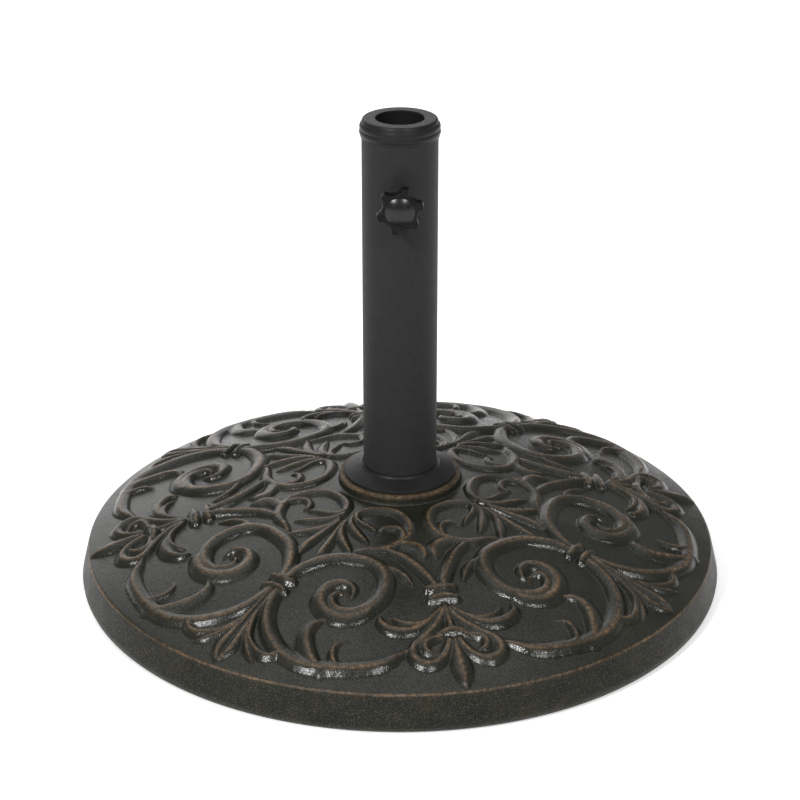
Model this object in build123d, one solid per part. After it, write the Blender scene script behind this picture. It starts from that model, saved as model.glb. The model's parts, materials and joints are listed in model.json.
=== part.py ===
from build123d import *
import math
import os

# Free-standing parasol base: a round cast weight with a bolted-on steel stand tube,
# a loose trim collar round the foot, a bushed mouth and a star knob that clamps the pole.
# Millimetres, +Z up. The origin is on the floor under the middle of the tube,
# and the knob is on the -Y side.

# ---------------------------------------------------------------- driving dimensions
# Cast weight
WEIGHT_RADIUS = 300.0        # widest point, low on the side wall
WIDEST_HEIGHT = 11.5
FOOT_RADIUS = 293.7          # the wall rounds under to this
RIM_RADIUS = 293.5           # top edge of the side wall
RIM_HEIGHT = 37.5
BOSS_RADIUS = 57.0
BOSS_BASE_HEIGHT = 93.0
BOSS_TOP_HEIGHT = 102.0
DOME_CROWN = 8.0             # how far the dome stands above a straight cone
FLOOR_GAP = 1.5              # the feet lift the weight this much

# Stand tube and its flanged foot
TUBE_RADIUS = 34.0
TUBE_WALL = 1.5
TOTAL_HEIGHT = 444.0
FOOT_RECESS_RADIUS = 50.0
FOOT_RECESS_DEPTH = 16.0
FLANGE_RADIUS = 49.5
FLANGE_THICKNESS = 5.0
WELD_LEG = 2.3
SCREW_COUNT = 4
SCREW_CIRCLE_RADIUS = 43.0

# Pole
POLE_BORE_RADIUS = 21.5
DRAIN_RADIUS = 6.0

# Clamp
KNOB_HEIGHT = 377.0
KNOB_RADIUS = 21.0
KNOB_LOBES = 6
KNOB_TURN = 76.0             # degrees from +X to the upper lobe
THREAD_RADIUS = 4.0          # M8
CLAMP_TRAVEL = 7.5           # six turns of 1.25 mm

# Feet
FOOT_COUNT = 6
FOOT_CIRCLE_RADIUS = 250.0
FOOT_PAD_RADIUS = 17.0
FOOT_PAD_THICKNESS = 5.0

# Running and assembly clearances
RUNNING = 0.05
LOOSE = 0.35
SLIP = 0.1

# ---------------------------------------------------------------- derived dimensions
RECESS_FLOOR = BOSS_TOP_HEIGHT - FOOT_RECESS_DEPTH
FLANGE_TOP = RECESS_FLOOR + FLANGE_THICKNESS
TUBE_INNER = TUBE_RADIUS - TUBE_WALL
BUSH_RADIUS = TUBE_INNER - SLIP
CAP_PLATE = 3.0
CAP_SPIGOT = 40.0
MOUTH_CHAMFER = 0.7
TUBE_TOP = TOTAL_HEIGHT - CAP_PLATE
REST_TOP = RECESS_FLOOR + 6.0
GUIDE_TOP = REST_TOP + 44.0
SPRING_WASHER = 2.0
SCREW_HEAD_BASE = FLANGE_TOP + SPRING_WASHER
SCREW_HEAD_HEIGHT = 8.0
SCREW_HEAD_RADIUS = 6.5
SCREW_LENGTH = 25.0
SOCKET_RADIUS = 6.5
SOCKET_LENGTH = 40.0
SOCKET_ANCHOR_RADIUS = 9.5
SOCKET_ANCHOR = 3.0
DRAIN_IN_WEIGHT_RADIUS = 8.0

STEEL_HOOP_RADIUS = 205.0
STEEL_HOOP_WIRE = 4.0
STEEL_HOOP_HEIGHT = 26.0

os.makedirs("parts", exist_ok=True)


# ---------------------------------------------------------------- helpers
def ring(outer, inner, bottom, top):
    """A round ring about Z between two heights."""
    body = Cylinder(outer, top - bottom, align=(Align.CENTER, Align.CENTER, Align.MIN))
    hole = Cylinder(inner, top - bottom, align=(Align.CENTER, Align.CENTER, Align.MIN))
    return Pos(0, 0, bottom) * (body - hole)


def disc(radius, bottom, top):
    """A round disc about Z between two heights."""
    return Pos(0, 0, bottom) * Cylinder(
        radius, top - bottom, align=(Align.CENTER, Align.CENTER, Align.MIN)
    )


def turned(points):
    """A closed (radius, height) outline turned about Z."""
    outline = Plane.XZ * Polyline([*points, points[0]])
    return revolve(make_face(outline), Axis.Z)


def around(count, radius, start=0.0):
    """Places for identical pieces on a circle about Z."""
    for index in range(count):
        angle = math.radians(start + 360.0 * index / count)
        yield Pos(radius * math.cos(angle), radius * math.sin(angle), 0)


def along_y(radius, back, front):
    """A rod along Y at the knob's height, from y = front to y = back."""
    rod = Cylinder(radius, back - front, align=(Align.CENTER, Align.CENTER, Align.MIN))
    return Pos(0, front, KNOB_HEIGHT) * Rot(-90, 0, 0) * rod


def save(shape, node):
    """Writes one sub-part to its own STEP file."""
    export_step(shape, f"parts/{node}.step")


# ---------------------------------------------------------------- cast weight
def dome_height(radius):
    """Height of the plain dome surface at a radius."""
    along = (RIM_RADIUS - radius) / (RIM_RADIUS - BOSS_RADIUS)
    straight = RIM_HEIGHT + (BOSS_BASE_HEIGHT - RIM_HEIGHT) * along
    return straight + DOME_CROWN * 4 * along * (1 - along)


def weight_profile():
    """Half section of the weight: flat foot, drafted wall, low dome and boss."""
    middle = (RIM_RADIUS + BOSS_RADIUS) / 2
    foot = (FOOT_RADIUS, FLOOR_GAP)
    widest = (WEIGHT_RADIUS, WIDEST_HEIGHT)
    rim = (RIM_RADIUS, RIM_HEIGHT)
    boss_base = (BOSS_RADIUS, BOSS_BASE_HEIGHT)
    boss_top = (BOSS_RADIUS, BOSS_TOP_HEIGHT)
    under = TangentArc(widest, foot, tangent=(0, -1))
    dome = ThreePointArc(rim, (middle, dome_height(middle)), boss_base)
    edges = [
        Line((0, FLOOR_GAP), foot),
        under,
        Line(widest, rim),
        dome,
        Line(boss_base, boss_top),
        Line(boss_top, (0, BOSS_TOP_HEIGHT)),
        Line((0, BOSS_TOP_HEIGHT), (0, FLOOR_GAP)),
    ]
    return make_face(Plane.XZ * Wire(edges))


def make_weight():
    weight = revolve(weight_profile(), Axis.Z)
    rim_edges = weight.edges().filter_by(GeomType.CIRCLE).filter_by(
        lambda edge: abs(edge.radius - RIM_RADIUS) < 0.01 and edge.center().Z > 30
    )
    weight = fillet(rim_edges, 2.0)
    boss_edges = weight.edges().filter_by(GeomType.CIRCLE).filter_by(
        lambda edge: abs(edge.radius - BOSS_RADIUS) < 0.01 and edge.center().Z > 100
    )
    weight = fillet(boss_edges, 1.0)
    weight -= disc(FOOT_RECESS_RADIUS, RECESS_FLOOR, BOSS_TOP_HEIGHT + 1)
    weight -= disc(DRAIN_IN_WEIGHT_RADIUS, 0, BOSS_TOP_HEIGHT)
    socket_hole = disc(SOCKET_RADIUS, RECESS_FLOOR - SOCKET_LENGTH, RECESS_FLOOR + 1)
    socket_hole += disc(
        SOCKET_ANCHOR_RADIUS, RECESS_FLOOR - SOCKET_LENGTH, RECESS_FLOOR - SOCKET_LENGTH + SOCKET_ANCHOR
    )
    for place in around(SCREW_COUNT, SCREW_CIRCLE_RADIUS, 45):
        weight -= place * socket_hole
    foot_pocket = disc(FOOT_PAD_RADIUS + SLIP, 0, FOOT_PAD_THICKNESS)
    for place in around(FOOT_COUNT, FOOT_CIRCLE_RADIUS):
        weight -= place * foot_pocket
    weight -= make_hoop()
    return weight


def make_hoop():
    """The closed wire hoop that holds the casting together."""
    return Pos(0, 0, STEEL_HOOP_HEIGHT) * Torus(STEEL_HOOP_RADIUS, STEEL_HOOP_WIRE)


def make_sockets():
    """Cast-in threaded sockets, each with a wide anchor at its lower end."""
    bottom = RECESS_FLOOR - SOCKET_LENGTH
    socket = ring(SOCKET_RADIUS, THREAD_RADIUS, bottom + SOCKET_ANCHOR, RECESS_FLOOR)
    socket += disc(SOCKET_ANCHOR_RADIUS, bottom, bottom + SOCKET_ANCHOR)
    return [place * socket for place in around(SCREW_COUNT, SCREW_CIRCLE_RADIUS, 45)]


def make_feet():
    pad = disc(FOOT_PAD_RADIUS, 0, FOOT_PAD_THICKNESS)
    return [place * pad for place in around(FOOT_COUNT, FOOT_CIRCLE_RADIUS)]


# ---------------------------------------------------------------- tube and foot
def make_tube():
    tube = ring(TUBE_RADIUS, TUBE_INNER, RECESS_FLOOR, TUBE_TOP)
    return tube - along_y(NUT_PILOT_RADIUS + RUNNING, -TUBE_INNER + 3, -TUBE_RADIUS - 3)


def make_flange():
    flange = ring(FLANGE_RADIUS, TUBE_RADIUS, RECESS_FLOOR, FLANGE_TOP)
    screw_hole = disc(THREAD_RADIUS + 0.5, RECESS_FLOOR - 1, FLANGE_TOP + 1)
    for place in around(SCREW_COUNT, SCREW_CIRCLE_RADIUS, 45):
        flange -= place * screw_hole
    return flange


def make_weld():
    """Fillet weld between the tube and the top of its flange."""
    return turned([
        (TUBE_RADIUS, FLANGE_TOP),
        (TUBE_RADIUS + WELD_LEG, FLANGE_TOP),
        (TUBE_RADIUS, FLANGE_TOP + WELD_LEG),
    ])


def make_screws():
    """Socket-head screws through the flange into the cast-in sockets."""
    top = SCREW_HEAD_BASE + SCREW_HEAD_HEIGHT
    head = disc(SCREW_HEAD_RADIUS, SCREW_HEAD_BASE, top)
    drive = extrude(RegularPolygon(3.0, 6, major_radius=False), 4.0)
    head -= Pos(0, 0, top - 4.0) * drive
    screw = head + disc(THREAD_RADIUS - RUNNING, SCREW_HEAD_BASE - SCREW_LENGTH, SCREW_HEAD_BASE)
    return [place * screw for place in around(SCREW_COUNT, SCREW_CIRCLE_RADIUS, 45)]


def make_spring_washers():
    """Split spring washers under the screw heads."""
    washer = ring(SCREW_HEAD_RADIUS, THREAD_RADIUS + 0.1, FLANGE_TOP, SCREW_HEAD_BASE)
    split = Pos(5.3, 0, FLANGE_TOP + SPRING_WASHER / 2) * Rot(25, 0, 0) * Box(6, 0.8, 6)
    washer -= split
    return [
        place * Rot(0, 0, 70 + 90 * index) * washer
        for index, place in enumerate(around(SCREW_COUNT, SCREW_CIRCLE_RADIUS, 45))
    ]


def make_collar():
    """The loose cover ring that slides up the tube to reach the screws."""
    inner = TUBE_RADIUS + LOOSE
    base = BOSS_TOP_HEIGHT + 0.2
    outline = [
        (52.0, base),
        (52.0, base + 1.4),
        (51.4, base + 2.0),
        (46.0, base + 4.2),
        (41.0, base + 6.2),
        (37.6, base + 7.7),
        (36.6, base + 9.0),
        (36.0, base + 9.6),
        (inner, base + 9.6),
        (inner, base + 6.8),
        (36.6, base + 5.9),
        (41.0, base + 4.3),
        (46.0, base + 2.3),
        (50.0, base + 0.8),
        (50.2, base),
    ]
    return turned(outline)


# ---------------------------------------------------------------- bushes in the tube
def make_cap():
    """Mouth bush: a beaded skirt over the tube, a spigot inside it and the pole bore."""
    top = TOTAL_HEIGHT
    over = TUBE_RADIUS + RUNNING
    return turned([
        (POLE_BORE_RADIUS, top - MOUTH_CHAMFER),
        (POLE_BORE_RADIUS + MOUTH_CHAMFER, top),
        (31.6, top),
        (32.9, top - 0.6),
        (33.6, top - 1.8),
        (34.2, top - 3.6),
        (34.8, top - 4.4),
        (35.5, top - 5.4),
        (35.9, top - 7.2),
        (35.6, top - 8.8),
        (35.3, top - 9.6),
        (35.8, top - 10.3),
        (36.1, top - 11.8),
        (35.9, top - 13.2),
        (35.3, top - 14.4),
        (35.0, top - 16.4),
        (over, top - 16.6),
        (over, top - CAP_PLATE),
        (BUSH_RADIUS, top - CAP_PLATE),
        (BUSH_RADIUS, top - CAP_SPIGOT),
        (POLE_BORE_RADIUS, top - CAP_SPIGOT),
    ])


def make_lower_guide():
    """Bottom bush that centres the pole's lower end."""
    return turned([
        (POLE_BORE_RADIUS, REST_TOP),
        (BUSH_RADIUS, REST_TOP),
        (BUSH_RADIUS, GUIDE_TOP),
        (POLE_BORE_RADIUS + 1.2, GUIDE_TOP),
        (POLE_BORE_RADIUS, GUIDE_TOP - 1.2),
    ])


def make_pole_rest():
    """Rubber disc that carries the pole, with a drain through its middle."""
    return ring(BUSH_RADIUS, DRAIN_RADIUS, RECESS_FLOOR, REST_TOP)


# ---------------------------------------------------------------- clamp
NUT_BACK = -26.3             # face of the nut towards the pole
NUT_SEAT = -31.5
NUT_PILOT_RADIUS = 5.45
PAD_BACK = NUT_BACK + 0.5
PAD_THICKNESS = 3.4
PAD_PIN_RADIUS = 2.5
PAD_PIN_LENGTH = 2.0
KNOB_BACK = -TUBE_RADIUS - CLAMP_TRAVEL - 0.8
HUB_LENGTH = 7.0
STAR_THICKNESS = 10.0
STAR_BACK = KNOB_BACK - HUB_LENGTH
STAR_FRONT = STAR_BACK - STAR_THICKNESS
INSERT_RADIUS = 12.9
INSERT_SEAT_DEPTH = 2.0
INSERT_DOME = 4.2


def make_nut():
    """Weld nut inside the tube wall, with a pilot that fills the tube's hole."""
    hexagon = extrude(RegularPolygon(6.5, 6, major_radius=False), NUT_BACK - NUT_SEAT)
    nut = Pos(0, NUT_SEAT, KNOB_HEIGHT) * Rot(-90, 0, 0) * hexagon
    nut += along_y(NUT_PILOT_RADIUS, NUT_SEAT, -TUBE_RADIUS + 0.2)
    return nut - along_y(THREAD_RADIUS, 0, -TUBE_RADIUS - 5)


def make_pad():
    """Swivel pad on the tip of the stud, which presses on the pole."""
    pad = along_y(5.2, PAD_BACK + PAD_THICKNESS, PAD_BACK)
    front_edge = pad.edges().filter_by(GeomType.CIRCLE).sort_by(Axis.Y)[-1]
    pad = fillet(front_edge, 1.0)
    return pad - along_y(
        PAD_PIN_RADIUS + RUNNING, PAD_BACK + PAD_PIN_LENGTH + RUNNING, PAD_BACK - 1
    )


def make_stud():
    """M8 stud moulded into the knob, with a reduced tip that carries the pad."""
    stud = along_y(THREAD_RADIUS - RUNNING, PAD_BACK - RUNNING, STAR_FRONT + 4.0)
    return stud + along_y(PAD_PIN_RADIUS, PAD_BACK + PAD_PIN_LENGTH, PAD_BACK - 1)


def star_outline():
    """Six blunt lobes left between six round finger scallops."""
    scallop_radius = 10.0
    scallop_circle = 25.6
    star = Circle(KNOB_RADIUS)
    step = 360.0 / KNOB_LOBES
    for index in range(KNOB_LOBES):
        angle = math.radians(KNOB_TURN + step * (index + 0.5))
        centre = Pos(scallop_circle * math.cos(angle), scallop_circle * math.sin(angle), 0)
        star -= centre * Circle(scallop_radius)
    return fillet(star.vertices(), 1.6)


def make_knob():
    """Moulded star knob with a hub behind it and a seat for its domed insert."""
    star = extrude(star_outline(), STAR_THICKNESS)
    rims = star.faces().sort_by(Axis.Z)
    star = fillet(rims[-1].edges() + rims[0].edges(), 1.2)
    hub = Pos(0, 0, -HUB_LENGTH) * Cylinder(
        8.5, HUB_LENGTH, align=(Align.CENTER, Align.CENTER, Align.MIN)
    )
    seat = Pos(0, 0, STAR_THICKNESS - INSERT_SEAT_DEPTH) * Cylinder(
        INSERT_RADIUS + RUNNING, INSERT_SEAT_DEPTH + 1, align=(Align.CENTER, Align.CENTER, Align.MIN)
    )
    knob = Pos(0, STAR_BACK, KNOB_HEIGHT) * Rot(90, 0, 0) * (star + hub - seat)
    return knob - along_y(THREAD_RADIUS - RUNNING, KNOB_BACK + 1, STAR_FRONT + 4.0)


def make_insert():
    """Glossy domed insert pressed into the front of the knob."""
    rise = INSERT_DOME - 0.4
    dome_radius = (INSERT_RADIUS ** 2 + rise ** 2) / (2 * rise)
    plug = disc(INSERT_RADIUS, -INSERT_SEAT_DEPTH, INSERT_DOME)
    crown = Pos(0, 0, INSERT_DOME - dome_radius) * Sphere(dome_radius)
    return Pos(0, STAR_FRONT, KNOB_HEIGHT) * Rot(90, 0, 0) * (plug & crown)


# ---------------------------------------------------------------- write every sub-part
def main():
    save(make_weight(), "cast_weight")
    save(make_hoop(), "reinforcing_hoop")
    save(Compound(children=make_sockets()), "threaded_sockets")
    save(Compound(children=make_feet()), "rubber_feet")
    save(make_tube(), "stand_tube")
    save(make_flange(), "tube_flange")
    save(make_weld(), "foot_weld")
    save(Compound(children=make_screws()), "flange_screws")
    save(Compound(children=make_spring_washers()), "spring_washers")
    save(make_collar(), "trim_collar")
    save(make_cap(), "tube_cap")
    save(make_lower_guide(), "lower_guide")
    save(make_pole_rest(), "pole_rest")
    save(make_nut(), "clamp_nut")
    save(make_pad(), "pressure_pad")
    save(make_stud(), "clamp_stud")
    save(make_knob(), "star_knob")
    save(make_insert(), "knob_insert")


main()
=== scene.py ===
import bpy
import json
import math
import numpy as np
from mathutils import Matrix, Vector


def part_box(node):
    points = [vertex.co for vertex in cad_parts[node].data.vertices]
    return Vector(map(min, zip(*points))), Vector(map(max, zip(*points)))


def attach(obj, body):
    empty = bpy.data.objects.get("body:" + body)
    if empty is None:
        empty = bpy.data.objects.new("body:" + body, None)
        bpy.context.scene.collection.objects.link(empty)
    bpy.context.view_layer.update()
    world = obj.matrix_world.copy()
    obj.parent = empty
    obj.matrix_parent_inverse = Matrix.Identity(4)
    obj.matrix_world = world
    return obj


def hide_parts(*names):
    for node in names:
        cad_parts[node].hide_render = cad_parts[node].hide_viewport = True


# Round cast parasol base: a relief casting in aged bronze paint, and a coated steel tube
# with moulded black fittings. The relief repeats every 90 degrees and is mirror symmetric
# about two kinds of axis, A (spear and petals) and B (collar between two volutes), which
# stand 45 degrees apart.

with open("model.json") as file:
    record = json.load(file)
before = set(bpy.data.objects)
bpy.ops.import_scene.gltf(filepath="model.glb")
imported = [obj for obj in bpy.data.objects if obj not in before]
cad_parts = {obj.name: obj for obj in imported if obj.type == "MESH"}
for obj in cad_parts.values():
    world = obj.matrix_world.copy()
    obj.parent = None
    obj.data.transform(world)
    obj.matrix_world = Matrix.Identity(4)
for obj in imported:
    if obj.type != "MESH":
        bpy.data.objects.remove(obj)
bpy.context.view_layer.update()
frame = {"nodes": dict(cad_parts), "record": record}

# ---------------------------------------------------------------- sizes, millimetres
FOOT, TOP = (corner * 1000 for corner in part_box("cast_weight"))
WIDE = TOP.x                     # widest radius of the weight
WIDE_Z = FOOT.z + 10.0
RIM = WIDE - 6.5                 # top edge of the side wall
RIM_Z = TOP.z - 64.5
BOSS = 57.0                      # raised ring round the tube's foot
BOSS_Z = TOP.z - 9.0             # where the dome meets the boss
RECESS = 50.0                    # recess in the boss for the tube's flange
RECESS_Z = TOP.z - 16.0
DRAIN = 8.0
CROWN = 8.0                      # how far the dome stands above a straight cone

RELIEF_IN = BOSS + 0.8           # the relief's first ring and its limit outward
RELIEF_OUT = RIM - 1.9
RING_STEP = 1.35                 # from one ring of the relief to the next
WEDGES = 8
WEDGE_STEPS = 152                # columns in one wedge, from an A axis to a B axis
WEDGE_DEGREES = 360 / WEDGES

A_AZIMUTH = -79.0                # one A axis, degrees from +X
SKEW = 1.2                       # degrees by which one B motif is cast askew
SKEW_AT = -45.0                  # that motif, in degrees from the A axis above
SKEW_SPREAD = 24.0

PEAKED = 0.38                    # share of a stroke's section that is peaked, the rest is round
SIDE_SLOPE = 0.9                 # how a stroke's section goes on below the dome
BLEND = 0.9                      # rounding where two strokes meet
WEAR_EDGE, WEAR_FADE = 0.42, 0.36   # where crest wear ends, in half widths, and its soft edge
FOOT_SHADE_AT = -0.2             # painted shade along a stroke's foot is darkest where the stroke is at this height
FOOT_SHADE_FADE = 1.6            # and fades out over this height, both up and down
CUT_OFF = 1.6                    # a stroke is left out beyond this many half widths

# ---------------------------------------------------------------- relief strokes
# Every point of a stroke is (across, outward, half width, height). Outward runs along the
# stroke's own axis from the centre of the weight. Two factors may follow the points: they
# widen the stroke on the left and on the right of its direction.
B_STROKES = [
    ("volute", [(2, 187, 6, 5.5), (6.5, 169.5, 7.5, 6.2), (20, 150, 8.3, 6.2),
                (38, 139.5, 8.5, 6.2), (60, 134.5, 8.5, 6.2), (78, 141, 8.8, 6.2),
                (90, 158.5, 9, 6.2), (91.5, 178, 9, 6.2), (81, 195, 8.5, 6.2),
                (66, 199.5, 6.5, 6), (54.5, 191.5, 4.8, 5.4), (54.5, 184, 3.4, 5),
                (59, 180, 2, 3.4), (64, 179.5, 0.8, 1)]),
    ("fork", [(92, 176, 5, 5), (90, 192, 8, 5.6), (78, 204.5, 9, 5.9), (64, 206.5, 9, 6),
              (50, 201, 9.5, 6), (43, 190, 9.5, 6), (43.5, 178.5, 8.5, 6), (51, 171, 7, 6),
              (60, 169.5, 5.5, 5.6), (66.5, 173, 4, 5), (68.5, 178.5, 2.2, 3.5), (68, 184, 0.8, 1)]),
    ("leaf", [(72, 135, 4, 5), (84, 132.5, 4.5, 5), (95, 134, 4.5, 4.6), (106, 138, 1.5, 2.5)]),
    ("scroll", [(37, 129, 3, 3.5), (44.5, 123, 4.5, 4.8), (54, 117, 5.5, 5.4),
                (60, 110.5, 6, 5.5), (64, 102, 6, 5.5), (66, 93, 6, 5.5), (66, 84, 6, 5.5),
                (61.5, 75, 6, 5.5), (55, 68, 6, 5.5), (47, 63, 6, 5.5), (37, 60.5, 6, 5.5),
                (27, 62.5, 6, 5.5), (17, 67, 6, 5.5), (9, 74.5, 5.5, 5.3), (6.5, 81, 4.5, 4.8)]),
    ("petal one", [(6.5, 81, 4, 5), (10, 88, 4, 5), (18, 91.5, 3.8, 4.8), (27, 92.5, 3.4, 4.6),
                   (35, 94.5, 2.4, 3.8)]),
    ("scroll hook", [(64, 89, 4.5, 5), (58.5, 83, 4.5, 5), (52, 80.5, 4.3, 4.8),
                     (46, 82.5, 4, 4.6), (41.5, 87, 3.6, 4.2), (41, 93, 3, 3.5)]),
    ("acanthus", [(65, 98, 4, 5), (70, 94.5, 5, 5), (77, 92, 5.5, 5), (84, 92, 5.5, 5),
                  (90, 95.5, 5, 4.8), (94, 100, 3, 3.5)], (1.9, 1.0)),
    ("petal two", [(5, 86, 3.5, 4.8), (8, 94, 4.2, 5), (15, 101, 5, 5), (24, 106.5, 5, 5),
                   (32, 110, 4, 4.6), (39, 113, 2, 3)]),
    ("petal three", [(4, 96, 3.5, 4.8), (6, 106, 4.5, 5), (11, 114.5, 5.2, 5),
                     (18.5, 122, 5.4, 5), (27, 128, 4.6, 4.6), (35, 133.5, 2, 3)]),
    ("petal four", [(2, 98, 2.5, 5), (4, 110, 3.5, 5), (6.5, 122, 5, 5), (8.5, 133, 6, 5),
                    (9.3, 143, 5.5, 4.8), (8, 154, 1.5, 2.5)]),
    ("collar in", [(0, 190, 5.5, 7.5), (5, 190, 5.4, 7.3), (10, 189, 4.6, 6)]),
    ("collar out", [(0, 201, 5.5, 7.5), (5, 201, 5.4, 7.3), (10, 202, 4.6, 6)]),
    ("border scroll", [(3, 206, 5.5, 5.5), (7, 222, 6, 6), (13, 234.5, 6.5, 6),
                       (22, 245.5, 6.8, 6), (34, 255, 7, 6), (50, 262.5, 7, 6),
                       (70, 265.5, 7, 6), (89, 261, 7, 6), (107, 253, 7, 6),
                       (121, 244, 7, 6), (131.5, 235.5, 7, 6), (138.5, 226, 6, 5.6),
                       (142, 216, 4.6, 5), (145, 206, 2.6, 3.5)], (0.8, 1.5)),
    ("loop rim", [(2.5, 228, 3, 5), (4, 238, 3.2, 5), (7.5, 249, 3.5, 5), (13.5, 259, 3.8, 5.2),
                  (23, 266, 4.2, 5.4), (34, 270, 4.5, 5.4), (43, 268.5, 4.2, 5.4),
                  (48.5, 263.5, 4, 5.5)]),
    ("side leaf", [(6, 250, 2.5, 4), (11, 260, 3, 4.5), (18, 268.5, 3.5, 4.5),
                   (25, 274.5, 3, 4), (30.5, 278, 1.2, 2)]),
    ("fishtail", [(1.8, 208, 2.4, 5), (2.2, 225, 2.6, 5), (3, 245, 3.4, 5), (4.2, 260, 4.8, 5),
                  (5.6, 271, 6, 5), (4.6, 280, 4.6, 4.6), (2, 286, 2.4, 3.4), (0.4, 289.5, 0.8, 1.6)]),
    ("shoot", [(92, 260, 5, 5), (82, 256.5, 6, 5.5), (73, 250.5, 6.5, 5.5),
               (65.5, 243.5, 6.5, 5.5), (59.5, 235.5, 6, 5.5), (57.5, 228, 5.5, 5.4),
               (58.5, 221.5, 4, 4.6), (62, 216, 2, 3), (66, 212.5, 0.7, 0.8)], (1.0, 1.6)),
    ("small shoot", [(107, 252, 4, 5), (99, 249.5, 4.2, 5), (93, 244.5, 4.2, 5),
                     (89.5, 238.5, 3.8, 4.6), (88.5, 232.5, 2.6, 3.6), (90.5, 227, 1.2, 2),
                     (93.5, 223.5, 0.6, 0.7)]),
]

A_STROKES = [
    ("collar in", [(0, 182.5, 6.2, 7), (5, 182.5, 6.2, 6.9), (11, 181.5, 5, 5.8)]),
    ("collar out", [(0, 193.5, 6.2, 7), (5, 193.5, 6.2, 6.9), (11, 194.5, 5, 5.8)]),
    ("stem", [(38, 121, 4, 4.5), (31, 128.5, 5.5, 5.5), (23.5, 136.5, 6, 6), (17, 147, 6.5, 6),
              (11, 159.5, 6.5, 6), (6.5, 171, 6, 6), (4, 179, 5, 6)]),
    ("spear", [(0, 243, 3, 4.5), (0, 252, 5.5, 5.2), (0, 262, 8, 5.6), (0, 271, 9.5, 5.6),
               (0, 278, 7.8, 5.3), (0, 285, 4.6, 4.6), (0, 291, 0.9, 2)]),
    ("outer petal", [(3, 207, 3, 4.5), (8, 218, 3.5, 5), (17, 228.5, 4, 5.2), (27, 237, 4.2, 5.3),
                     (35.5, 244, 4.4, 5.4), (39, 252, 4.6, 5.4), (36, 260, 5, 5.4),
                     (28, 265.5, 5, 5.4), (19.5, 264, 4.5, 5.3), (12, 258.5, 4, 5.2),
                     (7, 250.5, 3.6, 5), (4, 243, 3.2, 4.8)], (1.55, 1.15)),
    ("inner petal", [(10, 237, 3, 4), (18, 238.5, 4, 4.8), (25, 242, 4.8, 5.4),
                     (27.5, 248, 4.8, 5.4), (24, 253.5, 4, 5), (17, 255.5, 2, 3)]),
    ("bud", [(0, 232, 6, 6.2), (4, 232.5, 5.8, 6.1), (9, 234, 4.6, 5.2), (13, 235.5, 2.4, 3.6)]),
    ("stalk", [(0, 205, 5, 4.5), (0, 216, 4.5, 4.8), (0, 228, 4, 5)]),
    ("leaf one", [(5, 206, 3, 4.5), (11, 213, 4, 5), (18, 218.5, 4.5, 5.2), (27, 221, 4.5, 5.2),
                  (36, 219.5, 4, 5), (43, 215.5, 3.2, 4.5), (47.5, 210, 1.5, 3)]),
    ("leaf two", [(20, 221, 4, 4.5), (30, 225.5, 6, 5.2), (40, 226, 7, 5.4), (49, 223.5, 7, 5.4),
                  (56, 218, 6, 5.3), (59.5, 212, 4.5, 5), (58.5, 206.5, 2, 3.5)]),
]

# ---------------------------------------------------------------- relief height
def smooth_path(points, step=2.5):
    """A Catmull-Rom curve through the points, as straight pieces of about one step."""
    knots = np.array(points, float)
    ends = np.vstack([2 * knots[0] - knots[1], knots, 2 * knots[-1] - knots[-2]])
    ends[0, 2:] = knots[0, 2:]
    ends[-1, 2:] = knots[-1, 2:]
    out = []
    for a, b, c, d in zip(ends[:-3], ends[1:-2], ends[2:-1], ends[3:]):
        pieces = max(2, int(np.hypot(*(c - b)[:2]) / step))
        for t in np.arange(pieces) / pieces:
            out.append(0.5 * (2 * b + (c - a) * t + (2 * a - 5 * b + 4 * c - d) * t ** 2
                              + (3 * b - a - 3 * c + d) * t ** 3))
    out.append(knots[-1])
    return np.array(out)


def ridge(points, path, sides):
    """Height of one stroke at (across, outward) points, and how far off its crest they are.

    The second result is in half widths: 0 on the crest and 1 at the stroke's foot.
    """
    start, end = path[:-1], path[1:]
    along = end[:, :2] - start[:, :2]
    length = np.maximum((along ** 2).sum(1), 1e-9)
    offset = points[:, None, :] - start[None, :, :2]
    t = np.clip((offset * along).sum(2) / length, 0, 1)
    near = offset - t[..., None] * along
    cross = along[:, 0] * offset[..., 1] - along[:, 1] * offset[..., 0]
    half = start[:, 2] + t * (end - start)[:, 2]
    half = half * np.where(cross > 0, sides[0], sides[1])
    away = np.sqrt((near ** 2).sum(2)) / half
    best = away.argmin(1)
    rows = np.arange(len(points))
    away, half, t = away[rows, best], half[rows, best], t[rows, best]
    tall = start[best, 3] + t * (end - start)[best, 3]
    inside = np.clip(away, 0, 1)
    section = PEAKED * (1 - inside) + (1 - PEAKED) * (1 - inside ** 2.8) ** 0.6
    height = np.where(away < 1, tall * section, (1 - away) * half * SIDE_SLOPE)
    return height, away


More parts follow.
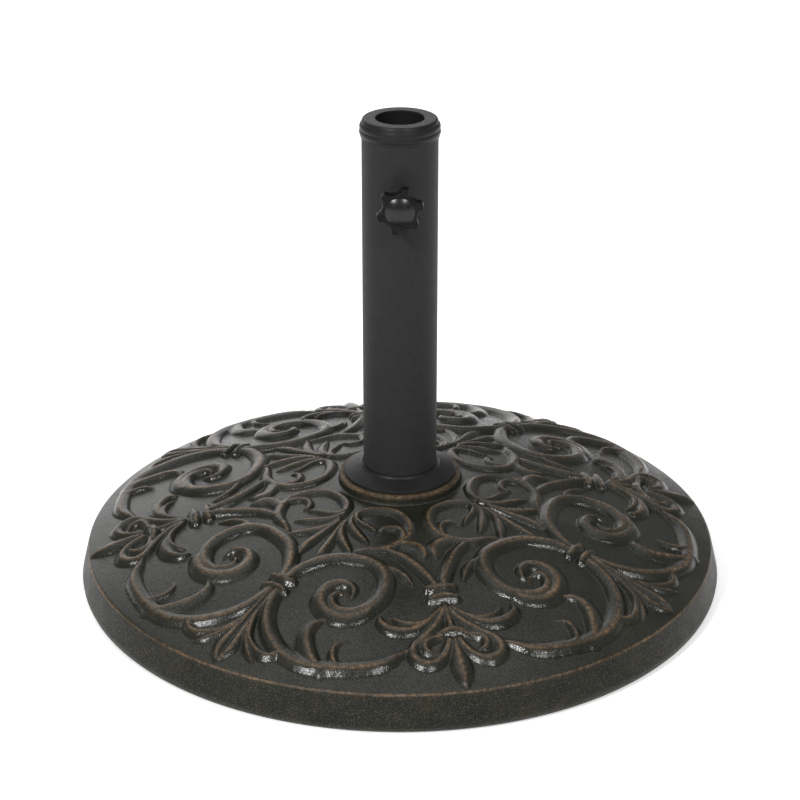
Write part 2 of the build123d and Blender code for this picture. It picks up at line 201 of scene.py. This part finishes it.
def relief(radius, angle):
    """Height, crest wear and foot shade at polar points of one wedge; angle runs A to B."""
    height = np.zeros(len(radius))
    wear = np.zeros(len(radius))
    shade = np.zeros(len(radius))
    wedge = math.radians(WEDGE_DEGREES)
    # Each stroke, its mirror image in its own axis, and the copy across the wedge's other side
    jobs = [(item, (wedge - angle, angle - wedge, wedge + angle)) for item in B_STROKES]
    jobs += [(item, (angle, -angle, 2 * wedge - angle)) for item in A_STROKES]
    for item, turns in jobs:
        path = smooth_path(item[1])
        sides = item[2] if len(item) > 2 else (1.0, 1.0)
        reach = path[:, 2].max() * max(sides) * CUT_OFF
        low, high = path[:, :2].min(0) - reach, path[:, :2].max(0) + reach
        for turn in turns:
            points = np.column_stack([radius * np.sin(turn), radius * np.cos(turn)])
            pick = np.flatnonzero(((points > low) & (points < high)).all(1))
            if not len(pick):
                continue
            new, away = ridge(points[pick], path, sides)
            old = height[pick]
            gap = np.maximum(BLEND - np.abs(new - old), 0)
            crest = np.clip((WEAR_EDGE - away) / WEAR_FADE, 0, 1)
            wear[pick] = np.where(new > old, crest, wear[pick])
            # Painted shade: a dark band along each stroke's foot, where it meets the dome
            foot = np.clip(1 - np.abs(new - FOOT_SHADE_AT) / FOOT_SHADE_FADE, 0, 1)
            shade[pick] = np.where(new > old, foot, np.maximum(shade[pick], foot * (old < 1)))
            height[pick] = np.maximum(new, old) + gap ** 2 / (4 * BLEND)
    return height, wear, shade


def dome(radius):
    """Height of the plain dome under the relief."""
    t = (RIM - radius) / (RIM - BOSS)
    return RIM_Z + (BOSS_Z - RIM_Z) * t + CROWN * 4 * t * (1 - t)


# ---------------------------------------------------------------- casting mesh
def plain_rings():
    """Rings before and after the dome's: (radius, height, wear, sharp), drain to foot."""
    top, low = TOP.z, FOOT.z
    inner = [
        (DRAIN, low, 0.0, True), (DRAIN, RECESS_Z, 0.0, True), (RECESS, RECESS_Z, 0.0, True),
        (RECESS, top - 0.4, 0.0, False), (RECESS + 0.4, top, 0.2, False),
        (BOSS - 3.4, top, 0.5, False), (BOSS - 1.7, top - 0.3, 1.0, False),
        (BOSS - 0.6, top - 1.2, 1.0, False), (BOSS, top - 2.8, 0.4, False),
        (BOSS, top - 5.0, 0.0, False), (BOSS + 0.1, BOSS_Z + 0.6, 0.0, False),
    ]
    wall = [(RIM - 1.2, RIM_Z + 0.35, 0.1, False), (RIM - 0.5, RIM_Z - 0.2, 0.8, False),
            (RIM + 0.1, RIM_Z - 1.2, 1.0, False), (RIM + 0.5, RIM_Z - 2.2, 0.1, False)]
    for share in (0.2, 0.45, 0.7, 0.9):
        wall.append((RIM + (WIDE - RIM) * share, RIM_Z + (WIDE_Z - RIM_Z) * share, 0.0, False))
    wall += [(WIDE, WIDE_Z, 0.0, False), (WIDE - 0.4, low + 6.6, 0.0, False),
             (WIDE - 1.6, low + 3.6, 0.1, False), (WIDE - 3.6, low + 1.4, 0.2, False),
             (WIDE - 6.3, low, 0.0, True)]
    return inner, wall


def columns():
    """Azimuth of each column of the mesh, and the column of the wedge that it repeats."""
    count = WEDGE_STEPS * WEDGES
    pair = 2 * WEDGE_STEPS
    repeat = np.arange(count) % pair
    repeat = np.where(repeat > WEDGE_STEPS, pair - repeat, repeat)
    turn = np.arange(count) * 360.0 / count
    signed = (turn + 180) % 360 - 180
    skew = SKEW * np.exp(-((signed - SKEW_AT) / SKEW_SPREAD) ** 2)
    return np.radians(A_AZIMUTH + turn + skew), repeat


def dome_rings(repeat):
    """The rings that carry the relief, as (radius, height, wear, foot shade, sharp)."""
    radii = np.arange(RELIEF_IN, RELIEF_OUT, RING_STEP)
    angles = np.radians(np.linspace(0, WEDGE_DEGREES, WEDGE_STEPS + 1))
    grid_r, grid_a = np.meshgrid(radii, angles, indexing="ij")
    height, wear, shade = (layer.reshape(grid_r.shape)
                           for layer in relief(grid_r.ravel(), grid_a.ravel()))
    # The relief rises from the boss over 3 mm and is lower towards the middle
    taper = np.clip((radii - BOSS) / 3.0, 0.2, 1) * np.clip(radii / 170.0, 0.72, 1)
    height = height * taper[:, None]
    return [(np.full(len(repeat), r), dome(r) + height[i, repeat], wear[i, repeat],
             shade[i, repeat], False) for i, r in enumerate(radii)]


def even_ring(count, radius, height, wear, sharp):
    """A ring that is the same all the way round, in the form that dome_rings gives."""
    return (np.full(count, radius), np.full(count, height), np.full(count, wear),
            np.zeros(count), sharp)


def casting():
    """The whole weight as one closed mesh with its relief."""
    azimuth, repeat = columns()
    inner, wall = ([even_ring(len(repeat), *ring) for ring in part] for part in plain_rings())
    r, z, wear, shade, sharp = zip(*(inner + dome_rings(repeat) + wall))
    r = np.array(r)
    points = np.stack([r * np.cos(azimuth), r * np.sin(azimuth), np.array(z)], axis=2) / 1000
    # 1 on the wall and the boss, 0 on the dome
    sandy = np.clip((r - RIM + 1.0) / 1.5, 0, 1) + np.clip(BOSS + 1.0 - r, 0, 1)
    layers = {"wear": np.array(wear), "sandy": sandy, "foot_shade": np.array(shade)}
    return ring_mesh("bronze_casting", points, layers, sharp)


def ring_mesh(name, points, layers, sharp):
    """Closed mesh from rings of points; the last ring joins the first."""
    rings, count = points.shape[:2]
    ring = np.arange(rings)[:, None]
    next_ring = (ring + 1) % rings
    column = np.arange(count)[None, :]
    next_column = (column + 1) % count
    quads = np.stack([ring * count + column, next_ring * count + column,
                      next_ring * count + next_column, ring * count + next_column],
                     axis=2).reshape(-1, 4)
    mesh = bpy.data.meshes.new(name)
    mesh.from_pydata(points.reshape(-1, 3), [], quads)
    mesh.validate()
    mesh.polygons.foreach_set("use_smooth", np.ones(len(mesh.polygons), bool))
    for label, values in layers.items():
        attribute = mesh.attributes.new(label, "FLOAT", "POINT")
        attribute.data.foreach_set("value", values.ravel().astype(np.float32))
    edges = np.empty(len(mesh.edges) * 2, int)
    mesh.edges.foreach_get("vertices", edges)
    edge_rings = edges.reshape(-1, 2) // count
    hard = (edge_rings[:, 0] == edge_rings[:, 1]) & np.array(sharp)[edge_rings[:, 0]]
    marks = mesh.attributes.new("sharp_edge", "BOOLEAN", "EDGE")
    marks.data.foreach_set("value", hard)
    thing = bpy.data.objects.new(name, mesh)
    bpy.context.scene.collection.objects.link(thing)
    return thing


# ---------------------------------------------------------------- materials
class Nodes:
    """A material under construction, with short ways to add and join its nodes."""

    def __init__(self, name):
        self.material = bpy.data.materials.new(name)
        self.material.use_nodes = True
        self.tree = self.material.node_tree
        self.shader = self.tree.nodes["Principled BSDF"]
        self.place = self.add("ShaderNodeTexCoord").outputs["Object"]

    def add(self, kind, **settings):
        node = self.tree.nodes.new(kind)
        for key, value in settings.items():
            setattr(node, key, value)
        return node

    def join(self, source, target):
        self.tree.links.new(source, target)

    def put(self, value, socket):
        """Sets a socket to a number or a colour, or joins it to another node's output."""
        if isinstance(value, (int, float, tuple)):
            socket.default_value = value
        else:
            self.join(value, socket)

    def layer(self, name):
        """One of the casting's own layers of values, by name."""
        return self.add("ShaderNodeAttribute", attribute_name=name).outputs["Fac"]

    def noise(self, scale, detail=3.0, rough=0.55):
        node = self.add("ShaderNodeTexNoise")
        self.join(self.place, node.inputs["Vector"])
        node.inputs["Scale"].default_value = scale
        node.inputs["Detail"].default_value = detail
        node.inputs["Roughness"].default_value = rough
        return node.outputs["Fac"]

    def ramp(self, value, *stops):
        """Turns a value into colours; a stop is a position and a colour or a grey."""
        node = self.add("ShaderNodeValToRGB")
        ramp = node.color_ramp
        while len(ramp.elements) < len(stops):
            ramp.elements.new(0.5)
        for element, (position, colour) in zip(ramp.elements, stops):
            element.position = position
            element.color = (*colour, 1) if isinstance(colour, tuple) else (colour,) * 3 + (1,)
        self.join(value, node.inputs["Fac"])
        return node.outputs["Color"]

    def mix(self, share, first, second):
        """Mixes two colours; the Mix node's colour sockets are told apart only by number."""
        node = self.add("ShaderNodeMix", data_type="RGBA")
        self.put(share, node.inputs[0])
        self.put(first, node.inputs[6])
        self.put(second, node.inputs[7])
        return node.outputs[2]

    def calculate(self, operation, first, second):
        node = self.add("ShaderNodeMath", operation=operation)
        self.put(first, node.inputs[0])
        self.put(second, node.inputs[1])
        return node.outputs[0]

    def plus(self, first, second):
        return self.calculate("ADD", first, second)

    def times(self, first, second):
        return self.calculate("MULTIPLY", first, second)

    def bump(self, height, distance):
        node = self.add("ShaderNodeBump")
        node.inputs["Distance"].default_value = distance
        node.inputs["Strength"].default_value = 1.0
        self.join(height, node.inputs["Height"])
        self.join(node.outputs["Normal"], self.shader.inputs["Normal"])

    def finish(self, colour, rough, metal=0.0, ior=1.5):
        self.join(colour, self.shader.inputs["Base Color"])
        self.join(rough, self.shader.inputs["Roughness"])
        self.shader.inputs["Metallic"].default_value = metal
        self.shader.inputs["IOR"].default_value = ior
        return self.material


def plain_finish(name, dark, light, rough, grain, depth, metal=0.0, ior=1.34):
    """A lightly mottled finish with a fine grain; rough is its least and greatest roughness."""
    n = Nodes(name)
    colour = n.ramp(n.noise(grain * 0.12), (0.3, dark), (0.7, light))
    shine = n.ramp(n.noise(grain * 0.3), (0.3, rough[0]), (0.7, rough[1]))
    n.bump(n.noise(grain, 2.0), depth)
    return n.finish(colour, shine, metal, ior)


PATINA_DARK = (0.0085, 0.0090, 0.0060)
PATINA = (0.0130, 0.0137, 0.0094)
PATINA_LIGHT = (0.0205, 0.0200, 0.0134)
RUST = (0.040, 0.027, 0.015, 1)
PAINTED_SHADE = (0.0028, 0.0028, 0.0022, 1)
COPPER_DARK = (0.085, 0.053, 0.028)
COPPER_LIGHT = (0.26, 0.165, 0.088)
DULL = (0.05, 0.05, 0.05, 1)


def bronze_colour(n, wear, sandy, foot):
    """Near-black patina with brown specks, painted shade along the feet of the strokes, copper where
    it is rubbed.
    """
    patina = n.ramp(n.noise(22.0, 4.0, 0.6), (0.3, PATINA_DARK), (0.5, PATINA), (0.72, PATINA_LIGHT))
    specks = n.ramp(n.noise(60.0, 4.0, 0.65), (0.52, 0.0), (0.72, 1.0))
    patina = n.mix(n.times(specks, n.plus(n.times(sandy, 0.35), 0.18)), patina, RUST)
    # Painted shade: the foot_shade layer darkens the patina along each stroke's foot
    patina = n.mix(n.times(foot, 0.34), patina, PAINTED_SHADE)
    broken = n.ramp(n.noise(240.0, 5.0, 0.75), (0.34, 0.0), (0.64, 1.0))
    patchy = n.ramp(n.noise(16.0, 2.0), (0.34, 0.35), (0.6, 1.0))
    copper = n.ramp(n.noise(420.0), (0.3, COPPER_DARK), (0.7, COPPER_LIGHT))
    return n.mix(n.times(n.times(wear, broken), patchy), patina, copper)


def aged_bronze(name):
    """Rubbed patina over a cast skin, smoother on the dome and sandy on the wall and boss."""
    n = Nodes(name)
    wear, sandy, foot = n.layer("wear"), n.layer("sandy"), n.layer("foot_shade")
    colour = bronze_colour(n, wear, sandy, foot)
    shine = n.mix(sandy, n.ramp(n.noise(45.0, 4.0), (0.3, 0.16), (0.7, 0.27)),
                  n.ramp(n.noise(60.0, 4.0), (0.3, 0.34), (0.7, 0.46)))
    glints = n.mix(sandy, n.ramp(n.noise(700.0, 2.0), (0.40, 0.34), (0.60, 0.78)),
                   n.ramp(n.noise(1000.0, 3.0), (0.52, 0.10), (0.70, 0.85)))
    # Where the painted foot shade lies, the specular level is turned down as well
    glints = n.mix(n.times(foot, 0.3), glints, DULL)
    n.join(glints, n.shader.inputs["Specular IOR Level"])
    sand = n.times(n.noise(650.0, 3.0, 0.65), n.plus(n.times(sandy, 0.8), 0.28))
    lumps = n.times(n.noise(230.0, 2.0), 0.2)
    n.bump(n.plus(sand, lumps), 0.0008)
    return n.finish(colour, shine, ior=1.46)


FINISHES = {
    "cast_stone": aged_bronze("cast_stone_finish"),
    "coated_steel": plain_finish(
        "coated_steel_finish", (0.0165, 0.0166, 0.0160), (0.0205, 0.0206, 0.0199),
        rough=(0.50, 0.58), grain=1500.0, depth=0.0002, ior=1.27),
    "black_plastic": plain_finish(
        "black_plastic_finish", (0.0105, 0.0107, 0.0102), (0.0145, 0.0147, 0.0142),
        rough=(0.34, 0.44), grain=900.0, depth=0.0001, ior=1.27),
    "knob_plastic": plain_finish(
        "knob_plastic_finish", (0.0045, 0.0045, 0.0045), (0.0080, 0.0080, 0.0080),
        rough=(0.26, 0.40), grain=1200.0, depth=0.0003, ior=1.22),
    "gloss_black": plain_finish(
        "gloss_black_finish", (0.0070, 0.0072, 0.0085), (0.0105, 0.0108, 0.0125),
        rough=(0.2, 0.3), grain=700.0, depth=0.00004, ior=1.42),
    "pad_plastic": plain_finish(
        "pad_plastic_finish", (0.035, 0.035, 0.035), (0.05, 0.05, 0.05),
        rough=(0.42, 0.52), grain=800.0, depth=0.0001),
    "zinc_steel": plain_finish(
        "zinc_steel_finish", (0.50, 0.50, 0.48), (0.64, 0.64, 0.62),
        rough=(0.26, 0.38), grain=500.0, depth=0.00006, metal=1.0),
    "plain_steel": plain_finish(
        "plain_steel_finish", (0.30, 0.30, 0.29), (0.42, 0.41, 0.40),
        rough=(0.34, 0.5), grain=400.0, depth=0.0001, metal=1.0),
    "foot_rubber": plain_finish(
        "foot_rubber_finish", (0.014, 0.014, 0.014), (0.022, 0.022, 0.022),
        rough=(0.7, 0.82), grain=600.0, depth=0.0002),
}


def dress_frame():
    """Gives every CAD node the finish of its own slot."""
    slots = {part["node"]: part["material_slot"] for part in frame["record"]["subparts"]}
    for node, thing in frame["nodes"].items():
        thing.data.materials.clear()
        thing.data.materials.append(FINISHES[slots[node]])


# ---------------------------------------------------------------- stage, light and camera
FLOOR_SIZE = 12                  # metres
FLOOR_GLOW = 0.5                 # keeps the pale floor free of a heavy shadow
WORLD_STRENGTH = 0.27
LIGHTS = [                       # name, where it stands, strength, how wide it looks in degrees
    ("top_light", (-0.2, 0.3, 2.0), 0.5, 60),
    ("left_light", (-1.4, -2.1, 1.8), 1.9, 6.5),
    ("right_light", (1.05, -2.2, 1.8), 1.05, 6.5),
    ("back_light", (-0.7, 2.6, 1.1), 0.42, 44),
]
CAMERA_PLACE = (0, -1.8647, 1.0083)
CAMERA_TILT = 65.88              # degrees up from straight down
CAMERA_LENS = 99.49
CAMERA_SENSOR = 36.0


def make_floor():
    n = Nodes("floor_finish")
    tone = n.ramp(n.noise(3.0), (0.3, 0.90), (0.7, 0.92))
    shine = n.ramp(n.noise(9.0), (0.3, 0.85), (0.7, 0.95))
    bpy.ops.mesh.primitive_plane_add(size=FLOOR_SIZE, location=(0, 0, 0))
    floor = bpy.context.object
    floor.name = "floor"
    n.join(tone, n.shader.inputs["Emission Color"])
    n.shader.inputs["Emission Strength"].default_value = FLOOR_GLOW
    floor.data.materials.append(n.finish(tone, shine))


def far_light(name, place, strength, spread):
    """A distant round softbox that shines from its place towards the origin."""
    light = bpy.data.lights.new(name, "SUN")
    light.energy = strength
    light.angle = math.radians(spread)
    lamp = bpy.data.objects.new(name, light)
    lamp.location = place
    lamp.rotation_euler = Vector(place).to_track_quat("Z", "Y").to_euler()
    bpy.context.scene.collection.objects.link(lamp)


def make_light():
    world = bpy.data.worlds.new("studio")
    world.use_nodes = True
    background = world.node_tree.nodes["Background"]
    background.inputs["Color"].default_value = (1, 1, 1, 1)
    background.inputs["Strength"].default_value = WORLD_STRENGTH
    bpy.context.scene.world = world
    for light in LIGHTS:
        far_light(*light)


def make_camera():
    data = bpy.data.cameras.new("photo_camera")
    data.sensor_width = CAMERA_SENSOR
    data.lens = CAMERA_LENS
    camera = bpy.data.objects.new("photo_camera", data)
    camera.location = CAMERA_PLACE
    camera.rotation_euler = (math.radians(CAMERA_TILT), 0, 0)
    bpy.context.scene.collection.objects.link(camera)
    bpy.context.scene.camera = camera


# ---------------------------------------------------------------- build
weight = casting()
weight.data.materials.append(FINISHES["cast_stone"])
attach(weight, "base")
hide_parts("cast_weight")
dress_frame()
make_floor()
make_light()
make_camera()
bpy.context.scene.view_settings.view_transform = "Standard"
